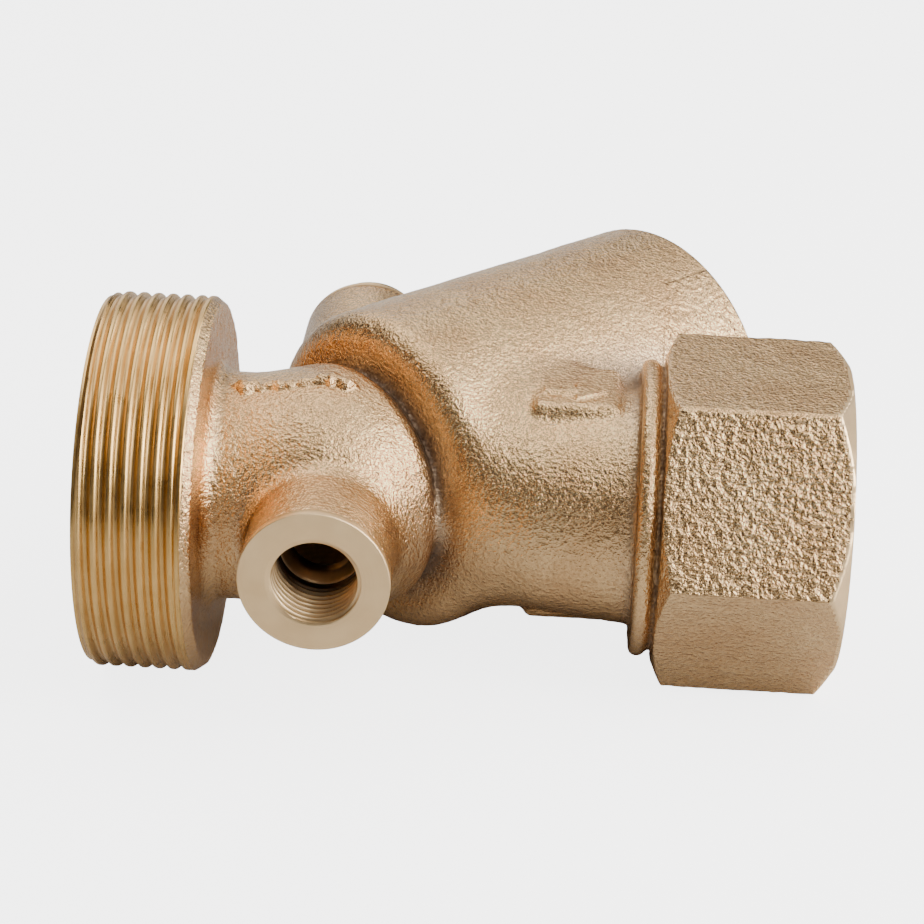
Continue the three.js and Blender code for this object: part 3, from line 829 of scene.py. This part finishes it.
class Nodes:
    """Short names for building a material's nodes."""

    def __init__(self, name):
        self.material = bpy.data.materials.new(name)
        self.material.use_nodes = True
        self.tree = self.material.node_tree
        self.shader = self.tree.nodes["Principled BSDF"]
        self.place = self.tree.nodes.new("ShaderNodeTexCoord").outputs["Object"]

    def feed(self, socket, value):
        """Sets a socket to a number or a colour, or links another node's output to it."""
        if isinstance(value, (int, float)):
            socket.default_value = value
        elif isinstance(value, tuple):
            socket.default_value = (*value, 1)
        else:
            self.tree.links.new(value, socket)

    def add(self, kind, **inputs):
        node = self.tree.nodes.new("ShaderNode" + kind)
        for name, value in inputs.items():
            self.feed(node.inputs[name], value)
        return node

    def noise(self, scale, detail=2.0, roughness=0.5):
        node = self.add("TexNoise", Vector=self.place, Scale=scale, Detail=detail, Roughness=roughness)
        return node.outputs["Fac"]

    def lines(self, name, scale, detail):
        """Noise that varies along a vertex attribute only."""
        node = self.add("TexNoise", Scale=scale, Detail=detail)
        node.noise_dimensions = "1D"
        self.feed(node.inputs["W"], self.attribute(name))
        return node.outputs["Fac"]

    def attribute(self, name):
        node = self.add("Attribute")
        node.attribute_name = name
        return node.outputs["Fac"]

    def ramp(self, value, stops):
        node = self.add("ValToRGB", Fac=value)
        set_stops(node.color_ramp, stops)
        return node.outputs["Color"]

    def level(self, value, low, high, out_low, out_high):
        node = self.add("MapRange", Value=value)
        for name, number in zip(("From Min", "From Max", "To Min", "To Max"), (low, high, out_low, out_high)):
            self.feed(node.inputs[name], number)
        return node.outputs["Result"]

    def math(self, operation, a, b):
        node = self.add("Math")
        node.operation = operation
        self.feed(node.inputs[0], a)
        self.feed(node.inputs[1], b)
        return node.outputs["Value"]

    def mix(self, factor, a, b, blend="MIX"):
        node = self.add("Mix")
        node.data_type = "RGBA"
        node.blend_type = blend
        for name, value in (("Factor_Float", factor), ("A_Color", a), ("B_Color", b)):
            self.feed(next(s for s in node.inputs if s.identifier == name), value)
        return next(s for s in node.outputs if s.identifier == "Result_Color")

    def bump(self, height, distance, strength=1.0, normal=None):
        node = self.add("Bump", Height=height, Distance=distance, Strength=strength)
        if normal is not None:
            self.feed(node.inputs["Normal"], normal)
        return node.outputs["Normal"]

    def finish(self, colour, roughness, normal=None, metallic=1.0):
        for name, value in (("Base Color", colour), ("Roughness", roughness), ("Metallic", metallic)):
            self.feed(self.shader.inputs[name], value)
        if normal is not None:
            self.feed(self.shader.inputs["Normal"], normal)
        return self.material


def cast_bronze():
    """Sand-cast bronze: a tan skin with a sparkling grain, browner in hollows, partly patina and partly
    painted shade, and painted dark shade in deep corners.
    """
    n = Nodes("cast_bronze")
    patches = n.ramp(n.noise(90, 3), [(0.3, (0.72, 0.45, 0.215)), (0.7, (0.85, 0.575, 0.29))])
    speck = n.ramp(n.noise(1900, 2), [(0.34, (0.62, 0.55, 0.50)), (0.58, (1.0, 1.0, 1.0))])
    skin = n.mix(0.60, patches, speck, "MULTIPLY")
    # Partly brown patina and partly painted shade: the skin turns greyish brown where much metal stands
    # round, in broad hollows.
    hollow = n.level(n.attribute("hollow"), 0.50, 0.72, 0.0, 0.72)
    skin = n.mix(hollow, skin, (0.42, 0.33, 0.26))
    # Painted shade: deep corners and crevices turn a near-black brown, and rougher.
    corner_shade = n.level(n.attribute("corner_shade"), 0.58, 0.76, 0.0, 0.85)
    skin = n.mix(corner_shade, skin, (0.17, 0.115, 0.08))
    roughness = n.level(n.noise(1100, 2), 0.3, 0.7, 0.13, 0.24)
    roughness = n.math("ADD", roughness, n.math("MULTIPLY", corner_shade, 0.35))
    coarseness = n.level(n.attribute("coarse"), 0.0, 1.0, 0.24, 1.0)
    fine = n.bump(n.noise(3200, 2, 0.6), 0.00010)
    middle = n.bump(n.noise(1900, 2, 0.5), 0.00027, normal=fine)
    grain = n.bump(n.math("MULTIPLY", n.noise(900, 1, 0.4), coarseness), 0.00046, normal=middle)
    return n.finish(skin, roughness, grain, metallic=0.96)


def turned_metal(name, pale, deep, rough=0.36, groove_shade=0.8):
    """Turned metal with fine tool marks that run round the piece, painted brown shade in its grooves and
    painted dark shade down ports and bores.
    """
    n = Nodes(name)
    marks = n.lines("path", 5.0, 3.0)
    colour = n.mix(n.level(n.noise(160, 3), 0.35, 0.65, 0, 1), pale, deep)
    # Painted shade: brown deep in the grooves of the union and port threads.
    colour = n.mix(n.level(n.attribute("groove"), 0.3, 1.0, 0.0, groove_shade), colour, (0.46, 0.26, 0.09))
    # Painted shade: near black down a port and deep in the casting's bores.
    colour = n.mix(n.level(n.attribute("hollow"), 0.55, 0.82, 0.0, 0.95), colour, (0.08, 0.05, 0.03))
    roughness = n.level(n.math("ADD", marks, n.noise(300, 2)), 0.7, 1.3, rough - 0.07, rough + 0.12)
    normal = n.bump(marks, 0.00004, 0.5)
    normal = n.bump(n.noise(900, 2), 0.00002, 0.4, normal)
    return n.finish(colour, roughness, normal)


def machined_bronze():
    return turned_metal("machined_bronze", (0.98, 0.70, 0.385), (0.90, 0.63, 0.335))


def threaded_bronze():
    return turned_metal("threaded_bronze", (0.80, 0.51, 0.195), (0.68, 0.415, 0.145), 0.29, 0.3)


def turned_brass():
    return turned_metal("turned_brass", (0.80, 0.62, 0.30), (0.72, 0.53, 0.24), 0.22)


def stainless_steel():
    """The screen's bright stainless steel."""
    n = Nodes("stainless_steel")
    colour = n.ramp(n.noise(250, 3), [(0.3, (0.52, 0.53, 0.54)), (0.7, (0.68, 0.69, 0.70))])
    roughness = n.level(n.noise(500, 2), 0.3, 0.7, 0.24, 0.38)
    return n.finish(colour, roughness, n.bump(n.noise(1400, 2), 0.00002, 0.5))


def sealing_fibre():
    """Red vulcanised fibre for the gasket and the washers."""
    n = Nodes("sealing_fibre")
    colour = n.ramp(n.noise(900, 4, 0.7), [(0.3, (0.10, 0.030, 0.022)), (0.7, (0.19, 0.065, 0.045))])
    roughness = n.level(n.noise(700, 2), 0.3, 0.7, 0.65, 0.85)
    return n.finish(colour, roughness, n.bump(n.noise(1800, 3), 0.00005, 0.7), metallic=0.0)


FLOOR_GLOW = 4.0


def pale_floor():
    """A white studio sheet. Its glow is for the camera only, so that it doesn't light the metal."""
    n = Nodes("pale_floor")
    colour = n.ramp(n.noise(6, 2), [(0.3, (0.56, 0.56, 0.56)), (0.7, (0.60, 0.60, 0.60))])
    seen = n.add("LightPath").outputs["Is Camera Ray"]
    n.feed(n.shader.inputs["Emission Strength"], n.math("MULTIPLY", seen, FLOOR_GLOW))
    n.feed(n.shader.inputs["Emission Color"], (1, 1, 1))
    roughness = n.level(n.noise(40, 2), 0.3, 0.7, 0.7, 0.8)
    return n.finish(colour, roughness, metallic=0.0)


# ------------------------------------------------------------------ building the pieces

def set_attribute(mesh, name, values):
    layer = mesh.attributes.new(name, "FLOAT", "POINT")
    layer.data.foreach_set("value", np.asarray(values, dtype=np.float32))


def all_in_frame(vertices):
    """Many points given in the casting's own millimetres, in the frame."""
    return np.array(ORIGIN) + np.asarray(vertices) * MM


def close_poles(mesh):
    """Welds the points that lie together on the axis."""
    work = bmesh.new()
    work.from_mesh(mesh)
    bmesh.ops.remove_doubles(work, verts=work.verts, dist=1e-7)
    work.to_mesh(mesh)
    work.free()


def give(piece, body, node):
    """Puts a piece on its body and hides the CAD node that it shows."""
    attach(piece, body)
    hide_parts(node)


def path_length(vertices, sides):
    """How far along its outline each ring of a swept piece lies, for the tool marks."""
    first = vertices[::sides]
    steps = np.linalg.norm(np.diff(first, axis=0), axis=1)
    return np.repeat(np.concatenate([[0], np.cumsum(steps)]), sides)


def ring_marks(vertices, sides, boss=None, union=False):
    """The marks of a turned ring: how deep into the grooves of the union and port threads, for a painted
    brown shade there, and how far down a port, for a painted dark shade.
    """
    nothing = np.zeros(len(vertices))
    radius, along = np.hypot(vertices[:, 0], vertices[:, 1]), vertices[:, 2]
    groove, depth = nothing, nothing
    if boss:
        depth = (boss.face - along) / PORT.depth
        groove = (radius - PORT.minor) / (PORT.major - PORT.minor) * (along < boss.face - 0.4)
    if union:
        groove = (UNION.crest - radius) / (UNION.crest - UNION.root) * (along > 0.9)
    return {"corner_shade": nothing, "hollow": np.clip(depth, 0, 1), "coarse": nothing,
            "path": path_length(vertices, sides), "groove": np.clip(groove, 0, 1)}


def make_body():
    """The casting and its machined ends as one object of closed shells."""
    materials = [cast_bronze(), machined_bronze(), threaded_bronze()]
    turned, threaded = 1, 2
    points, quads, machined, marks = casting_mesh(CASTING_STEP)
    marks["path"] = marks["groove"] = np.zeros(len(points))
    shells = [(points, quads, machined.astype(int), marks)]
    for ring, place, sides, material, boss in (
        (union_ring(), FLOW, UNION_SIDES, threaded, None),
        (socket_ring(), FLOW, LARGE_SIDES, turned, None),
        (mouth_ring(), ON_BARREL, LARGE_SIDES, turned, None),
        (port_ring(FRONT_BOSS), ON_FRONT_BOSS, SMALL_SIDES, turned, FRONT_BOSS),
        (port_ring(REAR_BOSS), ON_REAR_BOSS, SMALL_SIDES, turned, REAR_BOSS),
    ):
        vertices, faces = ring
        marks = ring_marks(vertices, sides, boss, union=material == threaded)
        shells.append((placed(vertices, *place), faces, np.full(len(faces), material), marks))
    vertices, faces, slots, marks = zip(*shells)
    starts = np.cumsum([0] + [len(points) for points in vertices])
    faces = np.concatenate([quads + start for quads, start in zip(faces, starts)])
    body = mesh_object("body_casting", all_in_frame(np.concatenate(vertices)), faces, materials,
                       np.concatenate(slots))
    for name in marks[0]:
        set_attribute(body.data, name, np.concatenate([of_shell[name] for of_shell in marks]))
    give(body, "casting", "strainer_body")


def make_turned_pieces():
    """Every piece but the casting."""
    brass, steel, fibre = turned_brass(), stainless_steel(), sealing_fibre()
    materials = {"turned_brass": brass, "stainless_steel": steel, "sealing_fibre": fibre}
    gasket = flat_ring(GASKET.start, GASKET.end, GASKET.inner, GASKET.outer, 0.3, 240)
    seat_ring = screen_ring(SEAT.start + 0.3, SCREEN.start - 0.05)
    cap_ring = screen_ring(SCREEN.end + 0.05, CAP.pocket_floor - 0.3)
    drain_washer, rear_washer = washer_shape(CAP.hex_top), washer_shape(REAR_BOSS.face)
    drain_plug, rear_plug = drain_plug_shape(), rear_plug_shape()
    for name, shape, place, body, node, slot in (
        ("cap_turned", cap_shape(), ON_BARREL, "cap", "cap", "turned_brass"),
        ("cap_gasket_ring", gasket, ON_BARREL, "gasket", "cap_gasket", "sealing_fibre"),
        ("screen_seat_end", seat_ring, ON_BARREL, "screen", "screen_seat_ring", "stainless_steel"),
        ("screen_cap_end", cap_ring, ON_BARREL, "screen", "screen_cap_ring", "stainless_steel"),
        ("screen_support", perforated_tube(), ON_BARREL, "screen", "screen_tube", "stainless_steel"),
        ("screen_weave", woven_mesh(), ON_BARREL, "screen", "screen_mesh", "stainless_steel"),
        ("drain_plug_washer", drain_washer, ON_BARREL, "drain_washer", "drain_washer", "sealing_fibre"),
        ("drain_plug_turned", drain_plug, ON_BARREL, "drain_plug", "drain_plug", "turned_brass"),
        ("rear_plug_washer", rear_washer, ON_REAR_BOSS, "rear_washer", "rear_port_washer", "sealing_fibre"),
        ("rear_plug_turned", rear_plug, ON_REAR_BOSS, "rear_plug", "rear_port_plug", "turned_brass"),
    ):
        vertices, faces = shape
        piece = mesh_object(name, all_in_frame(placed(vertices, *place)), faces, [materials[slot]])
        close_poles(piece.data)
        give(piece, body, node)


# ------------------------------------------------------------------ floor, light and camera

# The strainer lies on the thread's rim, the hexagon's lower edge and the barrel's mouth.
FLOOR_POINTS = (
    (UNION.length - 0.6, 0.0, -UNION.crest),
    (LENGTH - HEX.right, -14.0, -HEX.flats / 2),
    ((BARREL.mouth / ROOT2) + CROSSING, BARREL.mouth / ROOT2, -BARREL.radius),
)
FLOOR_GAP = 0.0002
FLOOR_REACH = 1.6
FLOOR_CELLS = 8

# Soft boxes round the strainer: azimuth, elevation, width and height in metres, and power in watts.
LIGHT_DISTANCE = 0.95
LIGHTS = {
    "right_softbox": (84, 16, 0.42, 0.50, 7.6),
    "front_right_softbox": (61, 31, 0.34, 0.48, 5.2),
    "high_front_right_softbox": (45, 62, 0.32, 0.30, 1.9),
    "high_right_softbox": (103, 46, 0.70, 0.50, 2.6),
    "right_rear_softbox": (140, 20, 0.30, 0.30, 1.2),
    "front_softbox": (18, 48, 0.30, 0.30, 0.8),
    "left_rear_top_softbox": (229, 63, 0.80, 0.70, 3.4),
    "left_top_softbox": (270, 62, 0.30, 0.30, 0.6),
    "rear_top_softbox": (180, 52, 0.80, 0.90, 2.2),
    "rear_card": (198, 12, 0.60, 0.34, 0.9),
}

# How bright the room is from straight below to straight above, and its warm tint.
ROOM_LEVELS = ((0.0, 0.10), (0.45, 0.06), (0.55, 0.055), (0.70, 0.14), (1.0, 0.22))
ROOM_TINT = (1.0, 0.92, 0.84)

CAMERA = Sizes(azimuth=2.554, elevation=26.03, roll=2.05, distance=425.73, lens=105.32)
CAMERA_TARGET = (56.84, 0.0, 6.22)
LIGHT_TARGET = (58, 15, 0)


def make_floor():
    """A wide sheet of square quads through the three points that the strainer lies on."""
    a, b, c = (in_frame(*point) for point in FLOOR_POINTS)
    side = (b - a).normalized()
    up = (b - a).cross(c - a).normalized()
    deep = up.cross(side)
    middle = (a + b + c) / 3 - up * FLOOR_GAP
    places = np.linspace(-FLOOR_REACH, FLOOR_REACH, FLOOR_CELLS + 1)
    corners = [middle + side * u + deep * v for u in places for v in places]
    row = FLOOR_CELLS + 1
    starts = [i * row + j for i in range(FLOOR_CELLS) for j in range(FLOOR_CELLS)]
    faces = [(start, start + row, start + row + 1, start + 1) for start in starts]
    floor = mesh_object("floor", [tuple(corner) for corner in corners], faces, [pale_floor()])


def direction(azimuth, elevation):
    """From the object towards a place round it; azimuth 0 is in front, 90 to the right."""
    a, e = math.radians(azimuth), math.radians(elevation)
    return Vector((math.sin(a) * math.cos(e), -math.cos(a) * math.cos(e), math.sin(e)))


def make_lights():
    for name, (azimuth, elevation, width, height, power) in LIGHTS.items():
        light = bpy.data.lights.new(name, "AREA")
        light.shape = "RECTANGLE"
        light.size, light.size_y = width, height
        light.energy = power
        lamp = bpy.data.objects.new(name, light)
        towards = direction(azimuth, elevation)
        lamp.location = in_frame(*LIGHT_TARGET) + towards * LIGHT_DISTANCE
        lamp.rotation_euler = towards.to_track_quat("Z", "Y").to_euler()
        bpy.context.scene.collection.objects.link(lamp)


def make_world():
    """A dim room, so that the bronze reflects something besides the lights."""
    world = bpy.data.worlds.new("studio")
    bpy.context.scene.world = world
    world.use_nodes = True
    tree = world.node_tree
    place = tree.nodes.new("ShaderNodeTexCoord")
    parts = tree.nodes.new("ShaderNodeSeparateXYZ")
    ramp = tree.nodes.new("ShaderNodeValToRGB")
    stops = [(at, tuple(level * tint for tint in ROOM_TINT)) for at, level in ROOM_LEVELS]
    set_stops(ramp.color_ramp, stops)
    lift = tree.nodes.new("ShaderNodeMapRange")
    lift.inputs["From Min"].default_value = -1
    tree.links.new(place.outputs["Generated"], parts.inputs["Vector"])
    tree.links.new(parts.outputs["Z"], lift.inputs["Value"])
    tree.links.new(lift.outputs["Result"], ramp.inputs["Fac"])
    tree.links.new(ramp.outputs["Color"], tree.nodes["Background"].inputs["Color"])


def make_camera():
    data = bpy.data.cameras.new("camera")
    camera = bpy.data.objects.new("camera", data)
    bpy.context.scene.collection.objects.link(camera)
    bpy.context.scene.camera = camera
    data.sensor_width = 36.0
    data.lens = CAMERA.lens
    data.clip_start, data.clip_end = 0.01, 20
    back = direction(CAMERA.azimuth, CAMERA.elevation)
    camera.location = in_frame(*CAMERA_TARGET) + back * CAMERA.distance * MM
    turn = back.to_track_quat("Z", "Y").to_matrix()
    roll = Matrix.Rotation(math.radians(CAMERA.roll), 3, "Z")
    camera.rotation_euler = (turn @ roll).to_euler()


make_camera()
make_world()
make_lights()
make_floor()
make_body()
make_turned_pieces()

bpy.context.view_layer.update()
